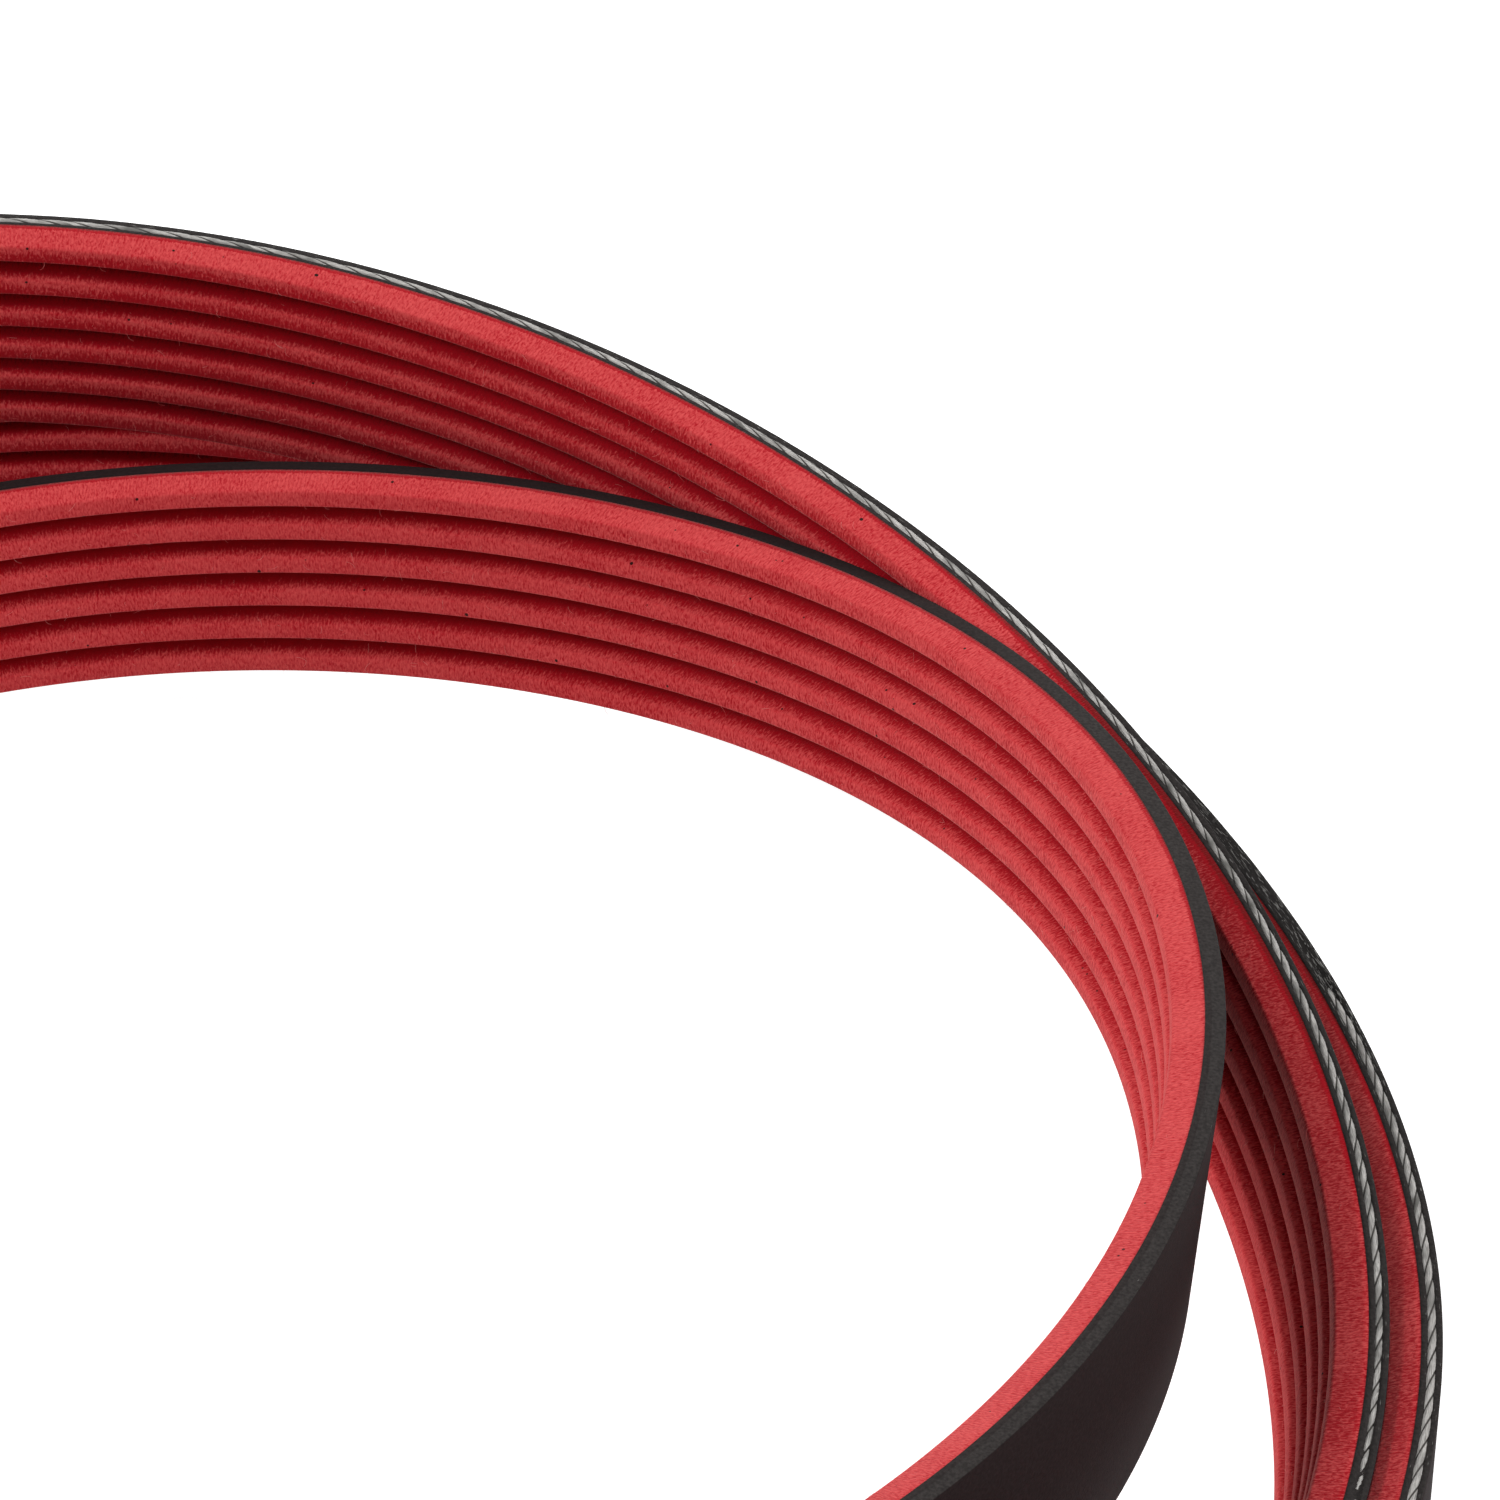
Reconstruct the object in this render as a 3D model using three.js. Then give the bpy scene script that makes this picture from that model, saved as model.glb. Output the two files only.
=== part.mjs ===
// Serpentine belt: an endless ribbed belt, moulded in one piece. It stands on its edge in a
// loose coil of three turns, ribs inward. Millimetres, +Z up, resting on the plane Z = 0.
import * as THREE from 'three';
import { LoftGeometry } from 'three/addons/geometries/LoftGeometry.js';
import { mergeVertices } from 'three/addons/utils/BufferGeometryUtils.js';

// Driving dimensions of the section
const RIB_COUNT = 6;
const RIB_PITCH = 3.56; // from groove to groove
const RIB_HEIGHT = 2.6; // from the root of a groove to the tips
const GROOVE_ANGLE = 40; // degrees, between the two flanks of a groove
const GROOVE_ROOT = 0.06; // flat at the bottom of a groove
const TIP_EASE = 0.25; // depth of the soft shoulder at each side of a rib's tip
const BAND = 1.7; // the smooth band behind the grooves
const BACK_EASE = 0.15; // soft corner where the back meets each cut edge

// How the strands of the coil keep clear of each other
const LAYER_GAP = 0.2; // between a strand's back and the rib tips of the next one out
const CROSSING_GAP = 1.64; // between a strand and the one that it climbs over

// The size of the coil
const COIL_RADIUS = 100; // about that of the innermost strand's back

// Fineness of the solid
const SECTIONS_PER_TURN = 45;

const WIDTH = RIB_COUNT * RIB_PITCH;
const THICKNESS = BAND + RIB_HEIGHT;
const LAYER_PITCH = THICKNESS + LAYER_GAP;
const CROSSING_LIFT = WIDTH + CROSSING_GAP;

// The route of the back's lower edge, one row for each 30 degrees of travel, anticlockwise
// from +X:
//   radius    in coil radii, before room is made for the strands that lie inside
//   layer     how many strands lie inside this one
//   lift      share of the height at which one strand clears another
//   overhang  in layers, how far the back's upper edge stands out beyond its lower edge
const STATION_STEP = 30;
const FIRST_TURN = [
  [1.0, 0, 0.63, 0.22],
  [1.135, 0, 0.59, 0.62],
  [1.21, 0, 0.28, 0.44],
  [1.165, 0, 0.13, 0.33],
  [1.025, 0, 0, 0.24],
  [0.915, 0, 0, 0],
  [0.9, 0, 0, 0],
  [0.975, 0.5, 0, 0],
  [1.075, 1, 0, 0],
  [1.12, 1, 0, 0.24],
  [1.045, 1, 0, 0.49],
  [1.02, 1, 0.04, 0.82],
];
const SECOND_TURN = [
  [1.085, 1, 0, 0.96],
  [1.12, 1, 0.26, 0.78],
  [1.22, 1, 0.65, 0.2],
  [1.31, 1, 0.98, 0],
  [1.245, 1, 1, 0],
  [1.25, 2, 1, 0],
  [1.295, 2, 0.57, 0],
  [1.295, 2, 0.17, 0],
  [1.27, 2, 0, 0],
  [1.205, 2, 0, 0],
  [1.095, 2, 0, 0],
  [1.047, 2, 0, 0],
];
const THIRD_TURN = [
  [1.127, 2, 0, 0],
  [1.15, 2, 0, 0],
  [1.291, 2, 0, 0],
  [1.476, 2, 0, 0],
  [1.28, 2, 0, 0],
  [1.205, 1, 0.04, 0],
  [1.1, 1, 0.61, 0],
  [0.98, 0.5, 1.04, 0],
  [0.82, 0, 1, 0],
  [0.715, 0, 0.83, 0],
  [0.72, 0, 0.72, 0],
  [0.84, 0, 0.7, 0],
];
const ROUTE = [...FIRST_TURN, ...SECOND_TURN, ...THIRD_TURN];
const FULL_TURN = 360;
const TRAVEL = ROUTE.length * STATION_STEP;

const UP = new THREE.Vector3(0, 0, 1);
const { degToRad, euclideanModulo } = THREE.MathUtils;

// The outline of the section: x is the depth inward from the back, y the height above the
// lower edge. It goes up over the ribs and comes down the back. Each cut edge is flat.
function beltSection() {
  const flankSlope = Math.tan(degToRad(GROOVE_ANGLE / 2));
  const footHalf = (RIB_PITCH - GROOVE_ROOT) / 2;
  const shoulderDepth = THICKNESS - TIP_EASE;
  const shoulderHalf = footHalf - (RIB_HEIGHT - TIP_EASE) * flankSlope;
  const tipHalf = shoulderHalf - TIP_EASE / 2;
  const halfOutline = [
    [BAND, footHalf],
    [shoulderDepth, shoulderHalf],
    [THICKNESS, tipHalf],
  ];
  const outline = [new THREE.Vector2(BAND, 0)];
  for (let rib = 0; rib < RIB_COUNT; rib++) {
    const middle = (rib + 0.5) * RIB_PITCH;
    for (const [depth, half] of halfOutline) {
      outline.push(new THREE.Vector2(depth, middle - half));
    }
    for (const [depth, half] of halfOutline.toReversed()) {
      outline.push(new THREE.Vector2(depth, middle + half));
    }
  }
  outline.push(
    new THREE.Vector2(BAND, WIDTH),
    new THREE.Vector2(BACK_EASE, WIDTH),
    new THREE.Vector2(0, WIDTH - BACK_EASE),
    new THREE.Vector2(0, BACK_EASE),
    new THREE.Vector2(BACK_EASE, 0),
  );
  return outline;
}

// A station value at any angle of travel, as a smooth closed cubic B-spline
function stationValue(column, travel) {
  const place = euclideanModulo(travel, TRAVEL) / STATION_STEP;
  const station = Math.floor(place);
  const f = place - station;
  const weights = [
    (1 - f) ** 3 / 6,
    (3 * f ** 3 - 6 * f ** 2 + 4) / 6,
    (-3 * f ** 3 + 3 * f ** 2 + 3 * f + 1) / 6,
    f ** 3 / 6,
  ];
  let value = 0;
  weights.forEach((weight, k) => {
    const row = euclideanModulo(station - 1 + k, ROUTE.length);
    value += weight * ROUTE[row][column];
  });
  return value;
}

// The point of the back's lower edge at an angle of travel
function routePoint(travel) {
  const [radius, layer, lift] = [0, 1, 2].map((column) => stationValue(column, travel));
  const angle = degToRad(travel % FULL_TURN);
  const reach = radius * COIL_RADIUS + layer * LAYER_PITCH;
  return new THREE.Vector3(
    reach * Math.cos(angle),
    reach * Math.sin(angle),
    lift * CROSSING_LIFT,
  );
}

// The section's outline in space at an angle of travel, square to the route and leaned out
function sectionAt(travel, outline) {
  const SMALL_STEP = 0.001;
  const origin = routePoint(travel);
  const along = routePoint(travel + SMALL_STEP).sub(origin).normalize();
  const across = UP.clone().addScaledVector(along, -along.z).normalize();
  const inward = new THREE.Vector3().crossVectors(across, along);
  const lean = Math.asin(stationValue(3, travel) * LAYER_PITCH / WIDTH);
  const depthAxis = inward.clone().multiplyScalar(Math.cos(lean));
  depthAxis.addScaledVector(across, Math.sin(lean));
  const heightAxis = across.clone().multiplyScalar(Math.cos(lean));
  heightAxis.addScaledVector(inward, -Math.sin(lean));
  return outline.map((p) => origin.clone()
    .addScaledVector(depthAxis, p.x)
    .addScaledVector(heightAxis, p.y));
}

// The endless solid: the section carried round all the turns until it meets its start
function beltGeometry() {
  const outline = beltSection();
  const step = FULL_TURN / SECTIONS_PER_TURN;
  const sections = [];
  for (let travel = 0; travel < TRAVEL; travel += step) {
    sections.push(sectionAt(travel, outline));
  }
  sections.push(sections[0]);
  const loft = new LoftGeometry(sections, { closed: true });
  const shell = new THREE.BufferGeometry().setIndex(loft.index);
  shell.setAttribute('position', loft.getAttribute('position'));
  const solid = mergeVertices(shell);
  solid.computeVertexNormals();
  return solid;
}

// Centred over the floor plane
function centred(geometry) {
  geometry.computeBoundingBox();
  const middle = geometry.boundingBox.getCenter(new THREE.Vector3());
  return geometry.translate(-middle.x, -middle.y, 0);
}

const ribFacing = new THREE.MeshStandardMaterial({ color: 0xb02a30, roughness: 0.9, metalness: 0 });

const belt = new THREE.Mesh(centred(beltGeometry()), ribFacing);
belt.name = 'belt';

const part = new THREE.Group();
part.add(belt);

export default part;
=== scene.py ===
# %% [markdown]
# # A serpentine belt, coiled on its edge
# This lesson dresses an endless ribbed drive belt. The real belt is moulded in one piece from
# three things that look very different: black rubber on the back, red fabric over the ribs, and
# a pale twisted cord that shows where the edge was cut through it. The solid model gives the
# size and the way the belt lies. Here each of the three gets its own finer mesh and finish.

# %% Load the solid model
import math
import random

import bmesh
import bpy
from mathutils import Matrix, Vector
from mathutils import noise as field


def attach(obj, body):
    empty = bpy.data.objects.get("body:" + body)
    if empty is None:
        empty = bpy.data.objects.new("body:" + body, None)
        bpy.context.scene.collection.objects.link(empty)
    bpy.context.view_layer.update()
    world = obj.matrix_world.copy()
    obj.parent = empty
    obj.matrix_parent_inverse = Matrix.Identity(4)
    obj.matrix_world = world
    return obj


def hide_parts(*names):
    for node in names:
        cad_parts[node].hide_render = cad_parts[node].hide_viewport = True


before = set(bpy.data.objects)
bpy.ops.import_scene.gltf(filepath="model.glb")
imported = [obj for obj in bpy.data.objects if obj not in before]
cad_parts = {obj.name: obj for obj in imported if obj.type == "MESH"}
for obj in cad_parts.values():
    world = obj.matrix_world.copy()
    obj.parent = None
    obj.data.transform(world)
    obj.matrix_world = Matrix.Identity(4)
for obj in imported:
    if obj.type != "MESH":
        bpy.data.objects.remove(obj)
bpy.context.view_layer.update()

MM = 0.001

# %% [markdown]
# ## The camera
# The picture is a close crop: the lens is long, and the camera looks down at the coil from about
# a third of the way up. A camera is placed most easily by what it looks at, so the target on the
# floor, the height angle and the distance are given, and the place follows from them.

# %% Camera
TARGET = Vector((0.0751, 0.0960, 0.0))
ELEVATION = math.radians(35.87)
DISTANCE = 0.5506
SENSOR = 36.0
PICTURE_SIDE = 1500
FOCAL_PIXELS = 5800

camera_data = bpy.data.cameras.new("camera")
camera_data.sensor_width = SENSOR
camera_data.lens = FOCAL_PIXELS / PICTURE_SIDE * SENSOR
camera_data.clip_start = 0.01
camera = bpy.data.objects.new("camera", camera_data)
bpy.context.collection.objects.link(camera)
camera.location = TARGET + DISTANCE * Vector((0.0, -math.cos(ELEVATION), math.sin(ELEVATION)))
camera.rotation_euler = (math.pi / 2 - ELEVATION, 0.0, 0.0)
bpy.context.scene.camera = camera
print("lens", round(camera_data.lens, 1), "mm")

# %% [markdown]
# ## The section of the belt
# A ribbed belt is the same all the way round, so its section tells nearly everything: a smooth
# band that holds the cords, and ribs with 40 degree grooves between them. These are the same
# sizes as in the solid model, and everything below is measured from them.

# %% Sizes of the section
RIB_COUNT = 6
RIB_PITCH = 3.56 * MM
RIB_HEIGHT = 2.6 * MM
GROOVE_ANGLE = math.radians(40)
GROOVE_ROOT = 0.06 * MM
BAND = 1.7 * MM
BACK_EASE = 0.15 * MM
LAYER_GAP = 0.2 * MM
CROSSING_GAP = 1.64 * MM
COIL_RADIUS = 100 * MM

WIDTH = RIB_COUNT * RIB_PITCH
THICKNESS = BAND + RIB_HEIGHT
LAYER_PITCH = THICKNESS + LAYER_GAP
CROSSING_LIFT = WIDTH + CROSSING_GAP
print("belt", round(WIDTH / MM, 2), "mm wide,", round(THICKNESS / MM, 2), "mm thick")

# %% [markdown]
# ## The route of the coil
# The belt goes round three times before it meets itself. Each row is one step of 30 degrees, and
# gives the radius in coil radii, how many strands lie inside, the lift as a share of the height
# at which one strand clears another, and how far the upper edge leans out, in layers. A cubic
# B-spline runs smoothly past them. It doesn't need to touch its points, and that is why it never
# kinks.

# %% Route of the back's lower edge
STATION_STEP = 30
FIRST_TURN = [
    (1.0, 0, 0.63, 0.22),
    (1.135, 0, 0.59, 0.62),
    (1.21, 0, 0.28, 0.44),
    (1.165, 0, 0.13, 0.33),
    (1.025, 0, 0, 0.24),
    (0.915, 0, 0, 0),
    (0.9, 0, 0, 0),
    (0.975, 0.5, 0, 0),
    (1.075, 1, 0, 0),
    (1.12, 1, 0, 0.24),
    (1.045, 1, 0, 0.49),
    (1.02, 1, 0.04, 0.82),
]
SECOND_TURN = [
    (1.085, 1, 0, 0.96),
    (1.12, 1, 0.26, 0.78),
    (1.22, 1, 0.65, 0.2),
    (1.31, 1, 0.98, 0),
    (1.245, 1, 1, 0),
    (1.25, 2, 1, 0),
    (1.295, 2, 0.57, 0),
    (1.295, 2, 0.17, 0),
    (1.27, 2, 0, 0),
    (1.205, 2, 0, 0),
    (1.095, 2, 0, 0),
    (1.047, 2, 0, 0),
]
THIRD_TURN = [
    (1.127, 2, 0, 0),
    (1.15, 2, 0, 0),
    (1.291, 2, 0, 0),
    (1.476, 2, 0, 0),
    (1.28, 2, 0, 0),
    (1.205, 1, 0.04, 0),
    (1.1, 1, 0.61, 0),
    (0.98, 0.5, 1.04, 0),
    (0.82, 0, 1, 0),
    (0.715, 0, 0.83, 0),
    (0.72, 0, 0.72, 0),
    (0.84, 0, 0.7, 0),
]
ROUTE = FIRST_TURN + SECOND_TURN + THIRD_TURN
TRAVEL = len(ROUTE) * STATION_STEP
FULL_TURN = 360
print(len(ROUTE), "stations for", TRAVEL // FULL_TURN, "turns")

# %% [markdown]
# ## A point of the route
# Between the stations, four neighbours are blended by the weights of a cubic B-spline. The
# section of the belt stands square to the route, and leans out by as much as the station says.
# The coil is centred as the solid model is, by the box of the strand that it follows.

# %% Points and section frames
def station_value(column, travel):
    place = (travel % TRAVEL) / STATION_STEP
    station = int(place)
    f = place - station
    weights = (
        (1 - f) ** 3 / 6,
        (3 * f**3 - 6 * f**2 + 4) / 6,
        (-3 * f**3 + 3 * f**2 + 3 * f + 1) / 6,
        f**3 / 6,
    )
    rows = [ROUTE[(station - 1 + k) % len(ROUTE)] for k in range(4)]
    return sum(weight * row[column] for weight, row in zip(weights, rows))


def route_point(travel):
    angle = math.radians(travel)
    reach = station_value(0, travel) * COIL_RADIUS + station_value(1, travel) * LAYER_PITCH
    lift = station_value(2, travel) * CROSSING_LIFT
    return Vector((reach * math.cos(angle), reach * math.sin(angle), lift))


def section_frame(travel, small_step=0.001):
    """The lower back corner of the section, and its depth and height directions."""
    origin = route_point(travel)
    along = (route_point(travel + small_step) - origin).normalized()
    across = (Vector((0, 0, 1)) - along * along.z).normalized()
    inward = across.cross(along)
    lean = math.asin(station_value(3, travel) * LAYER_PITCH / WIDTH)
    depth_axis = inward * math.cos(lean) + across * math.sin(lean)
    height_axis = across * math.cos(lean) - inward * math.sin(lean)
    return origin, depth_axis, height_axis


def middle_of_route():
    points = [route_point(travel) for travel in range(TRAVEL)]
    low = [min(point[axis] for point in points) for axis in (0, 1)]
    high = [max(point[axis] for point in points) for axis in (0, 1)]
    return Vector(((low[0] + high[0]) / 2, (low[1] + high[1]) / 2, 0))


CENTRE = middle_of_route()


def on_belt(travel, depth, height):
    """A point of the belt, by how deep from the back and how high up its width it lies."""
    origin, depth_axis, height_axis = section_frame(travel)
    return origin - CENTRE + depth_axis * depth + height_axis * height


length = sum((route_point(t + 1) - route_point(t)).length for t in range(TRAVEL))
print("belt length", round(length, 3), "m")

# %% [markdown]
# ## Carrying a section along the route
# Blender's curve tool could sweep a section too, but it can't change the section on the way, and
# the cut edge does change: the cord comes out of it on one stretch only. So each piece starts
# from a flat grid, like a strip of cloth: its columns go round the section and its rows along
# the belt. The grid's own flat shape becomes the UV map, in metres, so that a pattern follows
# the belt.

# %% Laying out a strip
def new_piece(name, mesh):
    piece = bpy.data.objects.new(name, mesh)
    bpy.context.collection.objects.link(piece)
    print(name, len(mesh.polygons), "faces")
    return piece


def lay_out_uvs(bm, strip, outline, travels):
    """U goes round the section and V along the belt."""
    girth = [0.0]
    for (d0, h0, _), (d1, h1, _) in zip(outline, outline[1:] + outline[:1]):
        girth.append(girth[-1] + math.hypot(d1 - d0, h1 - h0))
    metres_per_degree = length / TRAVEL
    layer = bm.loops.layers.uv.new("surface")
    bm.verts.index_update()
    for face in bm.faces:
        for loop in face.loops:
            column, row = strip[loop.vert.index]
            loop[layer].uv = (girth[column], (travels[row] - travels[0]) * metres_per_degree)


# %% [markdown]
# ## The sweep
# Each vertex of the strip is moved to its place on the belt. The edges of the strip that now
# meet are welded, open ends are closed, and all faces are turned outwards.

# %% The sweep
WELD = 0.0001 * MM


def sweep(name, outline_at, travels, endless):
    """A piece that carries a closed outline through all the travels.

    A point of an outline is (depth, height, zone). The zone is a number that the material
    reads from the vertex attribute of that name.
    """
    outlines = [outline_at(travel) for travel in travels]
    columns, rows = len(outlines[0]), len(travels) - 1
    bm = bmesh.new()
    bmesh.ops.create_grid(bm, x_segments=columns, y_segments=rows, size=0.5, calc_uvs=False)
    strip = [(round((v.co.x + 0.5) * columns), round((v.co.y + 0.5) * rows)) for v in bm.verts]
    lay_out_uvs(bm, strip, outlines[0], travels)
    zone_layer = bm.verts.layers.float.new("zone")
    frames = [section_frame(travel) for travel in travels]
    for vertex, (column, row) in zip(bm.verts, strip):
        depth, height, zone = outlines[row][column % columns]
        origin, depth_axis, height_axis = frames[row]
        vertex.co = origin - CENTRE + depth_axis * depth + height_axis * height
        vertex[zone_layer] = zone
    bmesh.ops.remove_doubles(bm, verts=bm.verts, dist=WELD)
    if not endless:
        open_ends = [edge for edge in bm.edges if edge.is_boundary]
        bmesh.ops.holes_fill(bm, edges=open_ends, sides=columns)
    bmesh.ops.recalc_face_normals(bm, faces=bm.faces)
    mesh = bpy.data.meshes.new(name)
    bm.to_mesh(mesh)
    bm.free()
    mesh.shade_smooth()
    return new_piece(name, mesh)


# %% [markdown]
# ## Where an endless piece starts
# An endless piece still has a first ring, where its two ends are welded and its UV map starts
# anew. It is put at the front of the coil, outside the picture.

# %% Rings of an endless piece
SEAM = 990


def closed_travels(rings):
    """The travel of each ring, from the seam once round to the seam again."""
    return [SEAM + TRAVEL * ring / rings for ring in range(rings + 1)]


print("seam at", SEAM, "degrees of travel")

# %% [markdown]
# ## Values that change along the belt
# Some painted shade and some darker cloth lie on one stretch only. A plateau is 0, rises softly
# to 1, stays there and sinks again, so it fades any value in and out between two travels. A
# travel is in degrees from the start of the first turn, and goes up to three times 360.

# %% Plateaus
def smooth_step(low, high, value):
    t = min(max((value - low) / (high - low), 0.0), 1.0)
    return t * t * (3 - 2 * t)


def plateau(travel, start, full_start, full_end, end):
    rise = smooth_step(start, full_start, travel % TRAVEL)
    return rise * (1 - smooth_step(full_end, end, travel % TRAVEL))


def along_right(travel):
    """The two outer strands at the right, where painted shade darkens the cloth a little."""
    return plateau(travel, 290, 320, 385, 400) + plateau(travel, 650, 680, 760, 790)


def along_crevice_shade(travel):
    """Two stretches at the right, in a crevice, with painted shade on the fabric beside the
    band.
    """
    return plateau(travel, 368, 388, 396, 412) + plateau(travel, 732, 750, 760, 790)


def along_front(travel):
    """The nearest stretch of the innermost strand."""
    return 1 - plateau(travel, 8, 28, 960, 1000)


def along_no_fringe_shade(travel):
    """The stretches without painted shade on the fabric beside the band."""
    outer = plateau(travel, 290, 320, 362, 380) + plateau(travel, 650, 680, 722, 742)
    return outer + along_front(travel)


def along_far_left(travel):
    """The outer strands at the far left, where painted shade darkens each rib's lower side and
    groove.
    """
    return plateau(travel, 385, 425, 480, 520) + plateau(travel, 780, 800, 850, 880)


def along_inner_far(travel):
    """The far side of the innermost strand, where the cut edge is as dark as the back."""
    return plateau(travel, 20, 58, 150, 190)


def along_inner_bend(travel):
    """The bend of the innermost strand, where the tips of the ribs are a deeper red."""
    return plateau(travel, 12, 30, 55, 80)


# How much painted shade lies beside the band at three travels.
for travel in (45, 380, 740):
    print("rubbed dark beside the band at", travel, "degrees:", round(along_crevice_shade(travel), 2))

# %% [markdown]
# ## The ribs
# Fabric wraps each rib, so no edge on it is sharp. The outline of one rib is worked out once:
# straight flanks at 20 degrees to its middle, a quarter-round shoulder at each side, and a tip
# that is nearly flat. The outline closes inside the band, where the two pieces overlap unseen.
# The zone is the depth of painted shade: 0 where the cloth is bright and 1 at the bottom of a
# groove, and more where the painted shade is darker still. The two outermost flanks lie open, so
# they are bright but for a fringe of painted shade beside the black band, and a little painted
# shade at the right.

# %% Sizes and painted shade zones of a rib
SHOULDER = 0.36 * MM
SHOULDER_STEPS = 3
CROWN = 0.05 * MM
BURIED = 0.15 * MM
FRINGE_HEIGHT = 0.48 * MM
CREVICE_SHADE_FRINGE = 0.30 * MM
FRINGE_SHADE_ZONE = 1.5
CREVICE_SHADE_ZONE = 0.9
CREVICE_SHADE_FLANK_ZONE = 0.4
RIGHT_SHADE_ZONE = 0.22
BEND_TIP_ZONE = 0.15
LOWER_SIDE_SHADE_ZONE = 0.45
MIDDLE_SHARE = 0.75
DEEPER_GROOVE_SHADE = 0.5
print("a rib's tip is rounded by", round(SHOULDER / MM, 2), "mm at each side")

# %% [markdown]
# ## One side of a rib
# Both sides of a rib have the same shape, so one is worked out and then turned up or down. Only
# the zones differ: a side in a groove gets painted shade that darkens with depth, and an open
# flank doesn't.

# %% One side of a rib
def half_rib_shape(travel):
    """One side of a rib from its foot to its tip, as (depth, offset from the middle)."""
    flank = GROOVE_ANGLE / 2
    foot_half = (RIB_PITCH - GROOVE_ROOT) / 2
    tip_half = foot_half - RIB_HEIGHT * math.tan(flank)
    turn = math.pi / 2 - flank
    centre_depth = THICKNESS - CROWN - SHOULDER
    centre_half = tip_half - SHOULDER * math.tan(turn / 2)
    fringe = FRINGE_HEIGHT + CREVICE_SHADE_FRINGE * along_crevice_shade(travel)
    side = [(BAND, foot_half), (BAND + fringe, foot_half - fringe * math.tan(flank))]
    for step in range(SHOULDER_STEPS + 1):
        angle = flank + turn * step / SHOULDER_STEPS
        depth = centre_depth + SHOULDER * math.sin(angle)
        side.append((depth, centre_half + SHOULDER * math.cos(angle)))
    return side


def open_flank_zones(travel, count):
    """On an open flank, painted shade darkens the fringe by the band; the rest is mostly bright.
    """
    painted_shade = along_crevice_shade(travel)
    fringe_shade_zone = FRINGE_SHADE_ZONE + CREVICE_SHADE_ZONE * painted_shade - FRINGE_SHADE_ZONE * along_no_fringe_shade(travel)
    zones = [fringe_shade_zone, CREVICE_SHADE_FLANK_ZONE * painted_shade] + [0.0] * (count - 2)
    # The open flanks of the outer strands at the right get a little painted shade.
    darker = RIGHT_SHADE_ZONE * along_right(travel)
    return [max(zone, darker) for zone in zones]


def half_rib(travel, is_open):
    """One side of a rib with its zones, as (depth, offset from the middle, zone)."""
    side = half_rib_shape(travel)
    if is_open:
        zones = open_flank_zones(travel, len(side))
    else:
        # At the far left the painted shade of the grooves is deeper.
        deeper = 1 + DEEPER_GROOVE_SHADE * along_far_left(travel)
        zones = [deeper * (THICKNESS - depth) / RIB_HEIGHT for depth, offset in side]
    return [(depth, offset, zone) for (depth, offset), zone in zip(side, zones)]


# %% [markdown]
# ## The facing
# Six ribs in a row make the outline that the sweep carries round. On the outer strands at the
# far left, painted shade darkens the lower side of each rib, and the upper side keeps the
# painted shade of the grooves alone.

# %% Rib facing
RIB_RINGS = 1200


def facing_outline(travel):
    lower_side_shade = LOWER_SIDE_SHADE_ZONE * along_far_left(travel)
    bend_tip = BEND_TIP_ZONE * along_inner_bend(travel)
    points = []
    for rib in range(RIB_COUNT):
        middle = (rib + 0.5) * RIB_PITCH
        for depth, offset, zone in half_rib(travel, is_open=rib == 0):
            points.append((depth, middle - offset, max(zone, lower_side_shade, bend_tip)))
        points.append((THICKNESS, middle, max(lower_side_shade * MIDDLE_SHARE, bend_tip)))
        for depth, offset, zone in reversed(half_rib(travel, is_open=rib == RIB_COUNT - 1)):
            points.append((depth, middle + offset, zone))
    points.append((BAND - BURIED, WIDTH - BURIED, 1.0))
    points.append((BAND - BURIED, BURIED, 1.0))
    return points


rib_facing = sweep("rib_facing", facing_outline, closed_travels(RIB_RINGS), endless=True)

# %% [markdown]
# ## Where the cord lies bare
# A knife cut the belt to its width, and along part of it the cut ran through a cord. The cord
# starts to show somewhere in the second turn, lies open along the far side, and dives back into
# the rubber on the third. These functions of the travel say how bare it is, how far it stands
# out, how far the cut pressed the rubber beyond the back, and how ragged the cut is. A wander is
# a random offset from a noise field, so it is smooth, and the same on every run.

# %% Cord along the travel
BARE_START, BARE_FULL_START = 310, 375
BARE_FULL_END, BARE_END = 737, 746
TEAR_START, TEAR_FULL_START = 729, 742
TEAR_FULL_END, TEAR_END = 780, 800
FAR_START, FAR_FULL_START = 375, 410
FAR_FULL_END, FAR_END = 640, 690
CORD_PROUD = 0.10 * MM
FAR_CORD_PROUD = 0.03 * MM
FAR_SPREAD = 0.30 * MM
RAGGED_WHERE_BARE = 0.35
RAGGED_WHERE_TORN = 0.65
LANE_SPACING = 7.3
print("the cord lies bare from", BARE_START, "to", BARE_END, "degrees of travel")


def cord_bareness(travel):
    return plateau(travel, BARE_START, BARE_FULL_START, BARE_FULL_END, BARE_END)


def far_share(travel):
    """On the far side the cord stands out further, and the band is a little thicker."""
    return plateau(travel, FAR_START, FAR_FULL_START, FAR_FULL_END, FAR_END)


def cord_proud(travel):
    return CORD_PROUD + FAR_CORD_PROUD * far_share(travel)


def cut_spread(travel):
    return FAR_SPREAD * far_share(travel)


def raggedness(travel):
    torn = plateau(travel, TEAR_START, TEAR_FULL_START, TEAR_FULL_END, TEAR_END)
    return RAGGED_WHERE_BARE * cord_bareness(travel) + RAGGED_WHERE_TORN * torn


def wander(travel, lane, reach, wave=0.9):
    """An offset that changes along the belt. The wave is in degrees of travel."""
    return reach * field.noise(Vector((travel % TRAVEL / wave, lane * LANE_SPACING, 0.5)))


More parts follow.
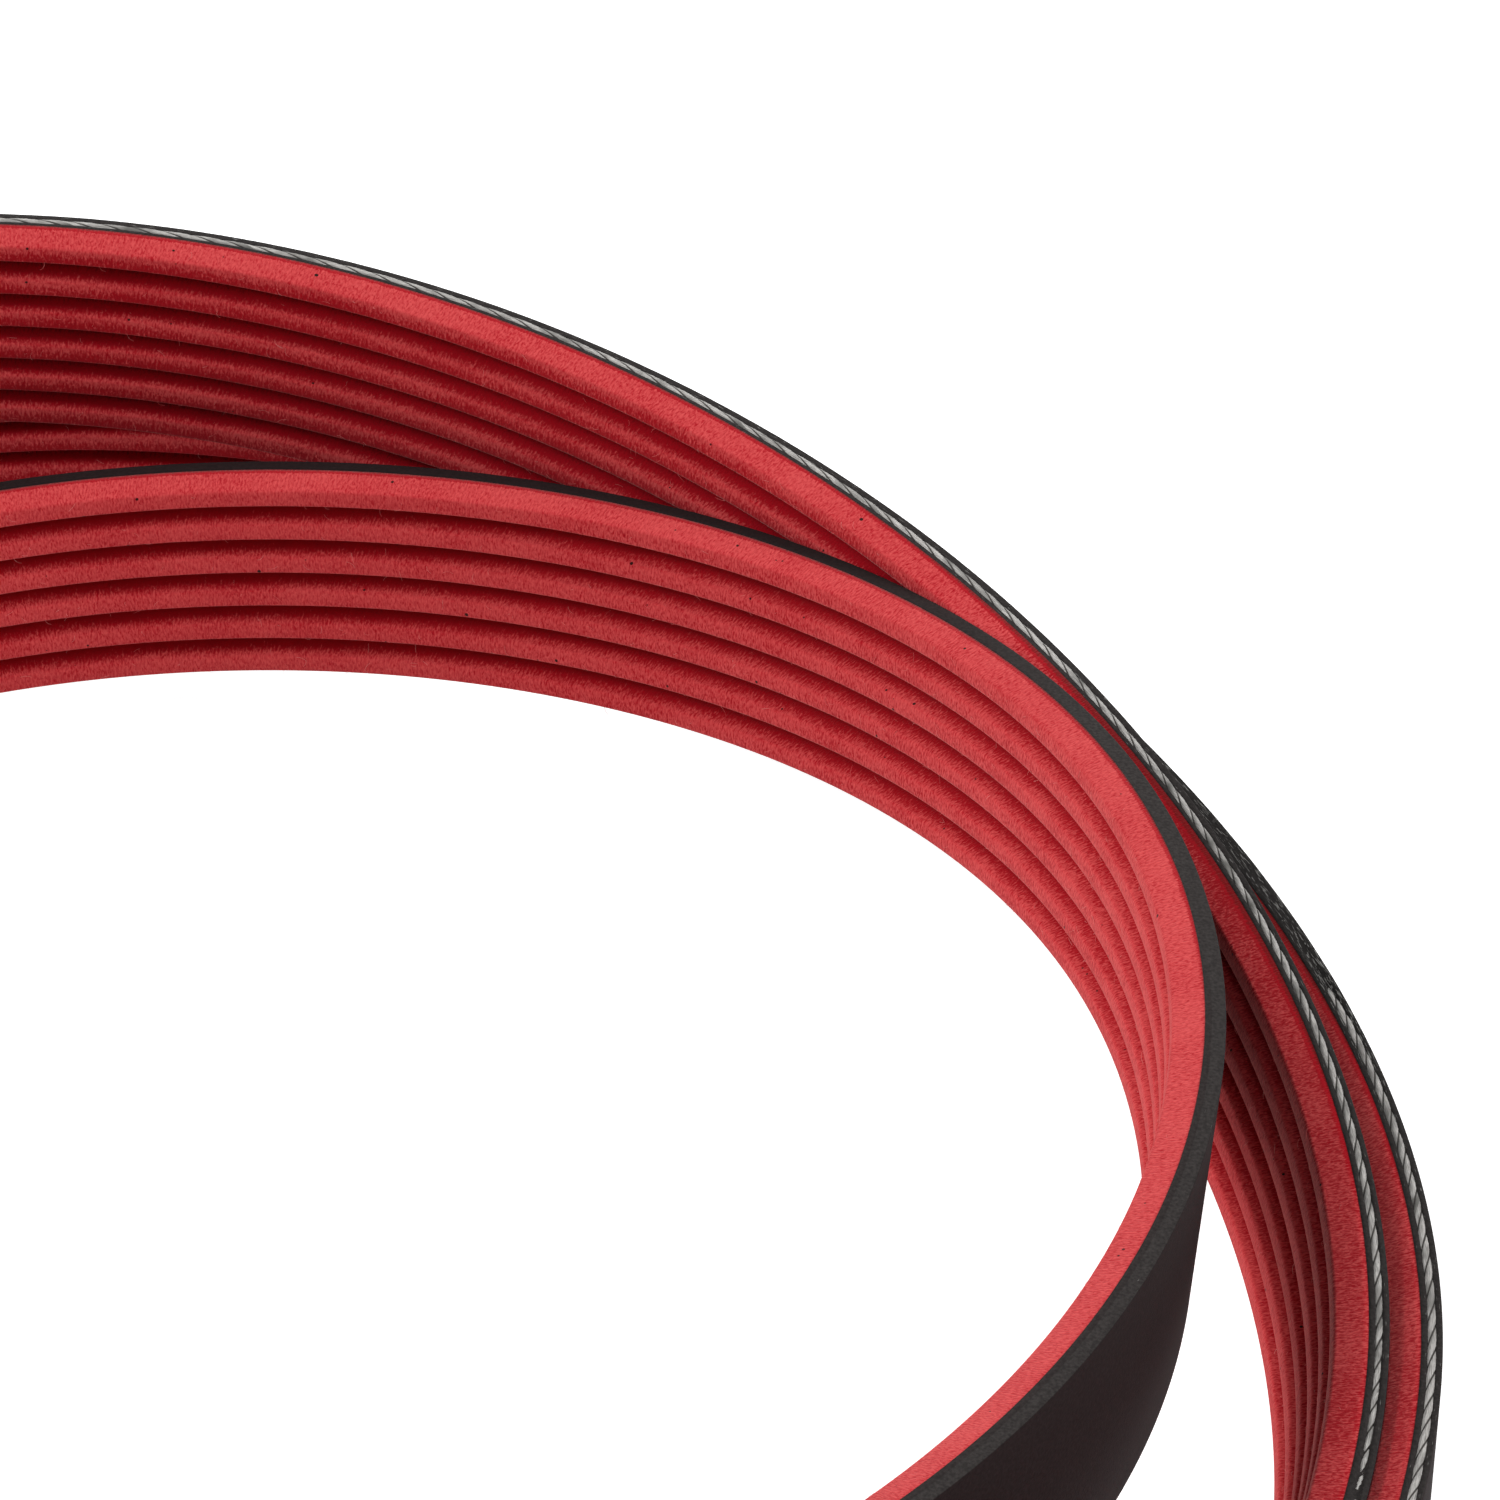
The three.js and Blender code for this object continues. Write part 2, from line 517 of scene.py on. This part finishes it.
# %% [markdown]
# ## The band and its cut edges
# The back is plain rubber with soft corners. The cut edge is flat, with a trough for the cord
# where that lies bare, and the walls of the trough and the outer corner are as uneven as a real
# cut. The zone is 0 on the back, 0.5 on a clean cut and up to 1 where the cut is torn. It is
# less along the far side and the front of the innermost strand, where the cut is nearly as dark
# as the back.

# %% Sizes and zones of the cut edge
CORD_DEPTH = 0.85 * MM
CORD_RADIUS = 0.46 * MM
TROUGH = 0.34 * MM
TROUGH_ROOM = 0.05 * MM
TROUGH_FLOOR_SHARE = 0.6
LIP_DROP = 0.05 * MM
INNER_LIP = 0.12 * MM
OUTER_LIP = 0.08 * MM
BACK_DROP = 0.01 * MM
RAGGED_WALL = 0.10 * MM
RAGGED_LIP = 0.12 * MM
RAGGED_CORNER = 0.09 * MM
CORNER_WAVE = 1.6
CUT_ZONE = 0.5
TEAR_ZONE = 0.5
DARKER_CUT = 0.36
DARKER_INNER_CUT = 0.2
print("the cord lies", round(CORD_DEPTH / MM, 2), "mm from the back of the belt")

# %% [markdown]
# ## The outline of the band
# The outline goes along the upper cut edge from the ribs to the back, with the trough on its
# way, then down the back and along the lower cut edge. Its last side lies inside the facing.

# %% Band
BAND_RINGS = 5200


def band_outline(travel):
    bare = cord_bareness(travel)
    ragged = raggedness(travel)
    half = math.sqrt(CORD_RADIUS**2 - (CORD_RADIUS - cord_proud(travel)) ** 2) + TROUGH_ROOM
    back = -cut_spread(travel)
    floor = WIDTH - TROUGH * bare
    wall_top = WIDTH - LIP_DROP * bare
    eased = BACK_EASE * (1 - math.sqrt(0.5))
    clean = CUT_ZONE - DARKER_CUT * along_inner_far(travel)
    torn = clean + TEAR_ZONE * ragged
    inner = -DARKER_INNER_CUT * along_front(travel)
    inner_wall = CORD_DEPTH + half + wander(travel, 1, RAGGED_WALL * ragged)
    outer_wall = CORD_DEPTH - half + wander(travel, 2, RAGGED_WALL * ragged)
    inner_lip = WIDTH + wander(travel, 3, RAGGED_LIP * ragged)
    outer_lip = WIDTH + wander(travel, 4, RAGGED_LIP * ragged)
    corner = wander(travel, 5, RAGGED_CORNER * ragged, wave=CORNER_WAVE)
    upper = [
        (BAND, WIDTH, clean + inner),
        (inner_wall + INNER_LIP, inner_lip, torn + inner),
        (inner_wall, wall_top, torn + inner),
        (CORD_DEPTH + half * TROUGH_FLOOR_SHARE, floor, torn),
        (CORD_DEPTH - half * TROUGH_FLOOR_SHARE, floor, torn),
        (outer_wall, wall_top, torn),
        (max(outer_wall - OUTER_LIP, BACK_EASE * 0.75), outer_lip, torn),
        (back + BACK_EASE * 0.7 + corner, WIDTH - BACK_DROP, torn),
        (back + eased, WIDTH - eased + corner * 0.5, clean * 0.5),
        (back, WIDTH - BACK_EASE, 0.0),
    ]
    lower = [
        (0.0, BACK_EASE, 0.0),
        (eased, eased, CUT_ZONE * 0.5),
        (BACK_EASE, 0.0, CUT_ZONE),
        (BAND, 0.0, CUT_ZONE),
    ]
    return upper + lower


band = sweep("band", band_outline, closed_travels(BAND_RINGS), endless=True)

# %% [markdown]
# ## The edge cord
# The cord is spun from three plies. Its section is a clover of three lobes, and the clover turns
# as it goes along the belt, which is just what twisting does to the real thing. It sinks into
# the rubber where it is no longer bare, so its two ends need no finish. The zone is 1 in the
# creases between the plies, where the yarn gets painted shade.

# %% Edge cord
PLIES = 3
PLY_STEPS = 8
CREASE_RADIUS = 0.78
LOBE_ROUNDNESS = 0.7
LAY_LENGTH = 7.6 * MM
LAY_WANDER = 0.5
LAY_WAVE = 5
CORD_STEP = 0.32
SUNK = 0.95 * MM
CORD_GIRTH = math.tau * CORD_RADIUS


def cord_outline(travel):
    twist = math.tau * travel / TRAVEL * length / LAY_LENGTH
    twist += wander(travel, 6, LAY_WANDER, wave=LAY_WAVE)
    middle = WIDTH - CORD_RADIUS + cord_proud(travel) - SUNK * (1 - cord_bareness(travel))
    points = []
    for step in range(PLIES * PLY_STEPS):
        angle = math.tau * step / (PLIES * PLY_STEPS)
        lobe = abs(math.cos(angle * PLIES / 2))
        radius = CORD_RADIUS * (CREASE_RADIUS + (1 - CREASE_RADIUS) * lobe**LOBE_ROUNDNESS)
        points.append((
            CORD_DEPTH + radius * math.cos(angle + twist),
            middle + radius * math.sin(angle + twist),
            1 - lobe,
        ))
    return points


cord_rings = int((BARE_END - BARE_START) / CORD_STEP)
cord_travels = [BARE_START + CORD_STEP * ring for ring in range(cord_rings)]
edge_cord = sweep("edge_cord", cord_outline, cord_travels, endless=False)
cord_length = (cord_travels[-1] - cord_travels[0]) * length / TRAVEL
print("bare cord about", round(cord_length, 2), "m long")

# %% [markdown]
# ## One fibre
# A napped cloth always sheds a few fibres. Each is a short hair that leaves the cloth on a rib
# and bows over it. The random numbers start from a fixed seed, so each run gives the same hairs.

# %% One fibre
FIBRE_POINTS = 4
ROOM_ON_RIB = 0.34 * RIB_PITCH
FLAT_OF_TIP = 0.2 * RIB_PITCH
FLANK_SLOPE = 0.9 / math.tan(GROOVE_ANGLE / 2)
SHORT_FIBRE, LONG_FIBRE = 0.25, 1.1
FEW_LONG = 1.5
LOW_BOW, HIGH_BOW = 0.05, 0.22
CURL = 0.8
ROOT_PHASE, BOW_PHASE = 0.15, 0.75
SEED = 6
dice = random.Random(SEED)


def fibre_path():
    """The points of one hair in space. It bows away from the cloth and comes back near it."""
    travel = dice.uniform(0, TRAVEL)
    rib = dice.randrange(RIB_COUNT)
    rib_middle = (rib + 0.5) * RIB_PITCH
    offset = dice.uniform(-1, 1) * ROOM_ON_RIB
    depth = THICKNESS - max(abs(offset) - FLAT_OF_TIP, 0) * FLANK_SLOPE
    reach = dice.uniform(SHORT_FIBRE, LONG_FIBRE) ** FEW_LONG * MM
    rise = dice.uniform(LOW_BOW, HIGH_BOW) * MM
    heading = dice.uniform(0, math.tau)
    bend = dice.uniform(-CURL, CURL)
    degrees_per_metre = TRAVEL / length
    path = []
    for step in range(FIBRE_POINTS):
        share = step / (FIBRE_POINTS - 1)
        turned = heading + bend * share
        path.append(on_belt(
            travel + reach * share * math.cos(turned) * degrees_per_metre,
            depth + rise * math.sin(math.pi * (ROOT_PHASE + BOW_PHASE * share)),
            min(max(rib_middle + offset + reach * share * math.sin(turned), 0), WIDTH),
        ))
    return path


# %% [markdown]
# ## Loose fibres
# A curve object draws thousands of hairs at once: every hair is one spline with a thin bevel.
# It is much lighter to handle than thousands of objects.

# %% Loose fibres
FIBRE_COUNT = 6400
FIBRE_RADIUS = 0.014 * MM

fibre_curve = bpy.data.curves.new("loose_fibres", "CURVE")
fibre_curve.dimensions = "3D"
fibre_curve.bevel_depth = FIBRE_RADIUS
fibre_curve.bevel_resolution = 0
fibre_curve.use_fill_caps = True
for _ in range(FIBRE_COUNT):
    hair = fibre_curve.splines.new("POLY")
    hair.points.add(FIBRE_POINTS - 1)
    for point, place in zip(hair.points, fibre_path()):
        point.co = (*place, 1.0)
loose_fibres = bpy.data.objects.new("loose_fibres", fibre_curve)
bpy.context.collection.objects.link(loose_fibres)
print("loose fibres", len(fibre_curve.splines))

# %% [markdown]
# ## Materials
# Small helpers keep the node trees short. Each material starts from the shader itself, and the
# numbers that are the same all over are set on its sockets. A mask is a ramp from black to
# white, and says where one colour gives way to another.

# %% Node helpers
def add_node(tree, kind, inputs=None, **settings):
    node = tree.nodes.new(kind)
    for key, value in settings.items():
        setattr(node, key, value)
    for key, value in (inputs or {}).items():
        feed(tree, node.inputs[key], value)
    return node


def feed(tree, socket, value):
    """Link the socket to another node's output, or set its value."""
    if isinstance(value, bpy.types.NodeSocket):
        tree.links.new(value, socket)
    else:
        socket.default_value = value


def noise(tree, vector, scale, detail=2.0, distortion=0.0):
    inputs = {"Vector": vector, "Scale": scale, "Detail": detail, "Distortion": distortion}
    return add_node(tree, "ShaderNodeTexNoise", inputs).outputs["Fac"]


def calculate(tree, operation, *terms):
    node = add_node(tree, "ShaderNodeMath", dict(enumerate(terms)), operation=operation)
    return node.outputs[0]


def ramp(tree, factor, *stops):
    node = add_node(tree, "ShaderNodeValToRGB", {"Fac": factor})
    while len(node.color_ramp.elements) < len(stops):
        node.color_ramp.elements.new(0.5)
    for element, (position, colour) in zip(node.color_ramp.elements, stops):
        element.position = position
        element.color = (*colour, 1.0)
    return node.outputs["Color"]


def mask(tree, factor, start, full, most=1.0):
    return ramp(tree, factor, (start, (0, 0, 0)), (full, (most, most, most)))


def mix_colours(tree, factor, under, over):
    """The mix node has one set of sockets for each kind of data. The colours are 6, 7 and 2."""
    over = over if isinstance(over, bpy.types.NodeSocket) else (*over, 1.0)
    node = add_node(tree, "ShaderNodeMix", {0: factor, 6: under, 7: over}, data_type="RGBA")
    return node.outputs[2]


# %% [markdown]
# ## Reading the surface
# All three materials read the UV map, which is in metres, and the zone. A mapping node that
# scales one direction more than the other stretches a noise into fibres. A bump node turns the
# same noise into relief.

# %% Surface helpers
def new_material(name, roughness, specular):
    material = bpy.data.materials.new(name)
    material.use_nodes = True
    shader = material.node_tree.nodes["Principled BSDF"]
    shader.inputs["Roughness"].default_value = roughness
    shader.inputs["Specular IOR Level"].default_value = specular
    return material, material.node_tree, shader


def surface_map(tree):
    return add_node(tree, "ShaderNodeUVMap", uv_map="surface").outputs["UV"]


def zone_of(tree):
    return add_node(tree, "ShaderNodeAttribute", attribute_name="zone").outputs["Fac"]


def stretched(tree, vector, scale, turn=0.0):
    inputs = {"Vector": vector, "Scale": (*scale, 1), "Rotation": (0, 0, math.radians(turn))}
    return add_node(tree, "ShaderNodeMapping", inputs).outputs["Vector"]


def add_relief(tree, shader, height, strength, distance):
    inputs = {"Height": height, "Strength": strength, "Distance": distance}
    bump = add_node(tree, "ShaderNodeBump", inputs)
    tree.links.new(bump.outputs["Normal"], shader.inputs["Normal"])


def put_on(data, material, colour):
    """Join the colour to the shader, and give the material to the piece's data."""
    tree = material.node_tree
    tree.links.new(colour, tree.nodes["Principled BSDF"].inputs["Base Color"])
    data.materials.append(material)
    print(material.name, len(tree.nodes), "nodes")


# %% [markdown]
# ## Red fabric: the nap
# The ribs are faced with a short-napped fabric. From a step away it is a soft coral red, and
# close up it is a felt of fine fibres, with faint courses across the belt like those of a
# knitted cloth. Two stretched noises make it: the nap itself, and longer tufts that lie more
# aslant. A slow drift keeps the brushed shine from being the same all the way.

# %% Nap of the fabric
FABRIC_LIGHT = (0.675, 0.078, 0.079)
FABRIC_SHADE = (0.50, 0.022, 0.031)
NAP_SCALE, NAP_TURN = (2400, 6000), 14
TUFT_SCALE, TUFT_TURN = (900, 4200), 24
PATCH_SCALE = 900
DRIFT_SCALE = 130
DRIFT_IN_SHADE = 0.22
COURSE_PITCH = 0.38 * MM
COURSES = round(length / COURSE_PITCH)
COURSE_RELIEF = 0.03

fabric, tree, shader = new_material("rib_fabric", roughness=0.92, specular=0.06)
shader.inputs["Sheen Weight"].default_value = 0.35
shader.inputs["Sheen Roughness"].default_value = 0.45
shader.inputs["Sheen Tint"].default_value = (1.0, 0.62, 0.58, 1.0)
on_surface = surface_map(tree)
fibres = stretched(tree, on_surface, NAP_SCALE, NAP_TURN)
nap = noise(tree, fibres, 1.0, detail=4, distortion=0.6)
tufts = stretched(tree, on_surface, TUFT_SCALE, TUFT_TURN)
strokes = calculate(tree, "SUBTRACT", noise(tree, tufts, 1.0, detail=3), 0.5)
patches = noise(tree, on_surface, PATCH_SCALE)
along = add_node(tree, "ShaderNodeSeparateXYZ", {"Vector": on_surface}).outputs["Y"]
phase = calculate(tree, "MULTIPLY_ADD", along, math.tau * COURSES / length, patches)
course = calculate(tree, "SINE", phase)
relief = calculate(tree, "MULTIPLY_ADD", course, COURSE_RELIEF, nap)
drift = calculate(tree, "SUBTRACT", noise(tree, on_surface, DRIFT_SCALE), 0.5)
brushed = calculate(tree, "MULTIPLY_ADD", drift, DRIFT_IN_SHADE, relief)
shade = ramp(tree, brushed, (0.34, FABRIC_SHADE), (0.64, FABRIC_LIGHT))
add_relief(tree, shader, relief, strength=0.7, distance=0.1 * MM)
print(COURSES, "courses round the belt")

# %% [markdown]
# ## Red fabric: painted shade in the grooves
# Down in a groove, painted shade turns the cloth a deep wine red. The zone attribute of the mesh
# says where the grooves are, and the nap, the drift, the tufts and the courses are added to it,
# so that the red frays into the dark as real fibres do.

# %% Painted wine-red shade of the grooves
WINE_SHADE = (0.40, 0.0008, 0.009)
DEEP_WINE_SHADE = (0.20, 0.0, 0.003)
NAP_IN_EDGE = 1.2
DRIFT_IN_EDGE = 0.35
STROKES_IN_EDGE = 0.8
COURSE_IN_EDGE = 0.06

zone = zone_of(tree)
frayed = calculate(tree, "MULTIPLY_ADD", nap, -NAP_IN_EDGE, NAP_IN_EDGE / 2)
wavering = calculate(tree, "MULTIPLY_ADD", drift, -DRIFT_IN_EDGE, frayed)
ragged = calculate(tree, "MULTIPLY_ADD", strokes, -STROKES_IN_EDGE, wavering)
serrated = calculate(tree, "MULTIPLY_ADD", course, COURSE_IN_EDGE, ragged)
depth_here = calculate(tree, "ADD", zone, serrated)
groove_shade_mask = mask(tree, depth_here, 0.10, 0.42)
half_depth = calculate(tree, "MULTIPLY", depth_here, 0.5)
groove = ramp(tree, half_depth, (0.46, WINE_SHADE), (0.70, DEEP_WINE_SHADE))
cloth = mix_colours(tree, groove_shade_mask, shade, groove)
print("grooves go from", WINE_SHADE, "to", DEEP_WINE_SHADE)

# %% [markdown]
# ## Red fabric: the pinholes
# A few pinholes go through the cloth to the black rubber. A Voronoi texture drops one point in
# each cell and gives the cell a random colour. The red of that colour is the cell's chance, so
# about half of the cells get a hole, and fewer of them away from the open flanks.

# %% Pinholes
PINHOLE = (0.020, 0.006, 0.005)
PINHOLE_SIZE = 0.20 * MM
PINHOLE_SHARE = 0.55
PINHOLE_SPACING = 1.7 * MM
CLOSED_PINHOLES = -0.11

voronoi_inputs = {"Vector": on_surface, "Scale": 1 / PINHOLE_SPACING}
cells = add_node(tree, "ShaderNodeTexVoronoi", voronoi_inputs)
cell_colour = add_node(tree, "ShaderNodeSeparateColor", {"Color": cells.outputs["Color"]})
largest = PINHOLE_SIZE / PINHOLE_SPACING
steepness = largest / PINHOLE_SHARE
size_here = calculate(tree, "MULTIPLY", cell_colour.outputs["Red"], steepness)
open_here = calculate(tree, "SUBTRACT", size_here, steepness - largest)
reach = calculate(tree, "MULTIPLY_ADD", zone, CLOSED_PINHOLES, open_here)
pinhole = calculate(tree, "LESS_THAN", cells.outputs["Distance"], reach)
put_on(rib_facing.data, fabric, mix_colours(tree, pinhole, cloth, PINHOLE))

# %% [markdown]
# ## Black rubber
# The back is matte and a warm black, with a fine grain. The cut edge is a neutral dark grey. It
# has fine scratches along the belt. Where the cut is torn it is darker between the scratches,
# and these turn into pale streaks.

# %% Rubber
BACK_DARK = (0.0082, 0.0040, 0.0042)
BACK_LIGHT = (0.0155, 0.0088, 0.0090)
CUT_DARK = (0.021, 0.0180, 0.0175)
CUT_LIGHT = (0.044, 0.0385, 0.0370)
TORN_DARK = (0.008, 0.0075, 0.007)
STREAK = (0.22, 0.215, 0.205)
GRAIN_SCALE = 3500
GRAIN_DARK, GRAIN_LIGHT = 0.35, 0.7
SCRATCH_SCALE = (11000, 900)

rubber, tree, shader = new_material("band_rubber", roughness=0.8, specular=0.10)
place_on_object = add_node(tree, "ShaderNodeTexCoord").outputs["Object"]
zone = zone_of(tree)
grain = noise(tree, place_on_object, GRAIN_SCALE, detail=5)
back = ramp(tree, grain, (GRAIN_DARK, BACK_DARK), (GRAIN_LIGHT, BACK_LIGHT))
cut = ramp(tree, grain, (GRAIN_DARK, CUT_DARK), (GRAIN_LIGHT, CUT_LIGHT))
colour = mix_colours(tree, mask(tree, zone, 0.15, 0.4), back, cut)
colour = mix_colours(tree, mask(tree, zone, 0.55, 0.95, most=0.8), colour, TORN_DARK)
scratches = stretched(tree, surface_map(tree), SCRATCH_SCALE)
streaks = noise(tree, scratches, 1.0, detail=3, distortion=0.5)
torn = calculate(tree, "MULTIPLY_ADD", zone, 0.42, streaks)
colour = mix_colours(tree, mask(tree, torn, 0.93, 1.06), colour, STREAK)
relief = calculate(tree, "MULTIPLY_ADD", streaks, 0.5, grain)
add_relief(tree, shader, relief, strength=0.3, distance=0.1 * MM)
put_on(band.data, rubber, colour)

# %% [markdown]
# ## Pale yarn
# The cord is undyed yarn, soiled grey in patches. Its filaments run straight along the cord
# although the plies turn, because yarn is twisted one way and plied the other. The UV map
# follows the plies, so U is shifted by V until the streaks run straight.

# %% Yarn
YARN_LIGHT = (0.62, 0.60, 0.575)
YARN_DARK = (0.20, 0.19, 0.18)
SOILED = (0.17, 0.165, 0.155)
CREASE_SHADE = (0.055, 0.050, 0.046)
FILAMENT_SCALE = (16000, 800)
SOILED_SCALE = 260

yarn, tree, shader = new_material("cord_yarn", roughness=0.7, specular=0.12)
on_surface = surface_map(tree)
flat = add_node(tree, "ShaderNodeSeparateXYZ", {"Vector": on_surface}).outputs
around = calculate(tree, "MULTIPLY_ADD", flat["Y"], CORD_GIRTH / LAY_LENGTH, flat["X"])
straight = add_node(tree, "ShaderNodeCombineXYZ", {"X": around, "Y": flat["Y"]})
threads = stretched(tree, straight.outputs["Vector"], FILAMENT_SCALE)
filaments = noise(tree, threads, 1.0, detail=3)
clean_yarn = ramp(tree, filaments, (0.32, YARN_DARK), (0.62, YARN_LIGHT))
patch = noise(tree, on_surface, SOILED_SCALE)
soiled = ramp(tree, patch, (0.30, (1, 1, 1)), (0.50, (0, 0, 0)))
colour = mix_colours(tree, soiled, clean_yarn, SOILED)
frayed = calculate(tree, "MULTIPLY_ADD", filaments, 0.35, zone_of(tree))
# Painted shade darkens the creases between the plies.
colour = mix_colours(tree, mask(tree, frayed, 0.80, 1.10), colour, CREASE_SHADE)
add_relief(tree, shader, filaments, strength=0.6, distance=0.06 * MM)
put_on(edge_cord.data, yarn, colour)

# %% [markdown]
# ## Fibre
# A single fibre is paler than the cloth, because light comes through it.

# %% Fibre
FIBRE_RED = (0.72, 0.26, 0.24)
TINT_SCALE = 400

fibre, tree, _ = new_material("loose_fibre", roughness=0.7, specular=0.2)
tint = noise(tree, add_node(tree, "ShaderNodeTexCoord").outputs["Object"], TINT_SCALE)
put_on(fibre_curve, fibre, ramp(tree, tint, (0.35, FABRIC_LIGHT), (0.6, FIBRE_RED)))

# %% [markdown]
# ## Light
# Two soft lamps stand left and right, with a third at the back left and a weak one in front. The
# grooves stay dark because nearly no light comes from straight above.

# %% Lamps
LAMP_SIDE = 0.8
LAMPS = [
    ("left_lamp", (-1.1, 0, 0.8), 10.5),
    ("left_back_lamp", (-0.8, 0.8, 0.8), 9),
    ("right_lamp", (1.1, 0, 0.8), 13),
    ("front_lamp", (0, -1.1, 0.8), 2.5),
]

for name, place, power in LAMPS:
    lamp = bpy.data.lights.new(name, "AREA")
    lamp.shape = "SQUARE"
    lamp.size = LAMP_SIDE
    lamp.energy = power
    stand = bpy.data.objects.new(name, lamp)
    bpy.context.collection.objects.link(stand)
    stand.location = place
    stand.rotation_euler = (-Vector(place)).to_track_quat("-Z", "Y").to_euler()
print(len(LAMPS), "lamps, each", LAMP_SIDE, "m wide")

# %% [markdown]
# ## Backdrop and floor
# A white backdrop would also light the belt from everywhere. So the world is white only for the
# rays that show it, straight, in a mirror or through glass, and dim for all others. The floor
# glows a little for the same rays alone, and keeps the belt's soft shadow.

# %% Backdrop and floor
WORLD_DIM, WORLD_WHITE = 0.12, 1.0
FLOOR_SIDE = 3.0
FLOOR_GREY = 0.85
FLOOR_GLOW = 0.8


def sees_background(tree):
    """1 for a ray that shows the background, straight, in a mirror or through glass."""
    path = add_node(tree, "ShaderNodeLightPath").outputs
    bent = calculate(tree, "MAXIMUM", path["Is Glossy Ray"], path["Is Transmission Ray"])
    return calculate(tree, "MAXIMUM", path["Is Camera Ray"], bent)


world = bpy.data.worlds.new("studio")
bpy.context.scene.world = world
world.use_nodes = True
backdrop = world.node_tree.nodes["Background"]
backdrop.inputs["Color"].default_value = (1, 1, 1, 1)
strength = add_node(
    world.node_tree, "ShaderNodeMapRange",
    {"Value": sees_background(world.node_tree), "To Min": WORLD_DIM, "To Max": WORLD_WHITE},
)
world.node_tree.links.new(strength.outputs["Result"], backdrop.inputs["Strength"])

bm = bmesh.new()
bmesh.ops.create_grid(bm, x_segments=1, y_segments=1, size=FLOOR_SIDE / 2)
floor_mesh = bpy.data.meshes.new("floor")
bm.to_mesh(floor_mesh)
bm.free()
floor = new_piece("floor", floor_mesh)
paper, tree, shader = new_material("floor_paper", roughness=1.0, specular=0.0)
shader.inputs["Base Color"].default_value = (FLOOR_GREY, FLOOR_GREY, FLOOR_GREY, 1)
shader.inputs["Emission Color"].default_value = (1, 1, 1, 1)
glow = calculate(tree, "MULTIPLY", sees_background(tree), FLOOR_GLOW)
tree.links.new(glow, shader.inputs["Emission Strength"])
floor_mesh.materials.append(paper)

# %% [markdown]
# ## Handing over
# The four pieces all stand in for the one solid, so they ride on its body, and the solid is
# hidden.

# %% Hand over to the frame
for piece in (rib_facing, band, edge_cord, loose_fibres):
    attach(piece, "root")
    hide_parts("belt")

bpy.context.scene.view_settings.view_transform = "Standard"
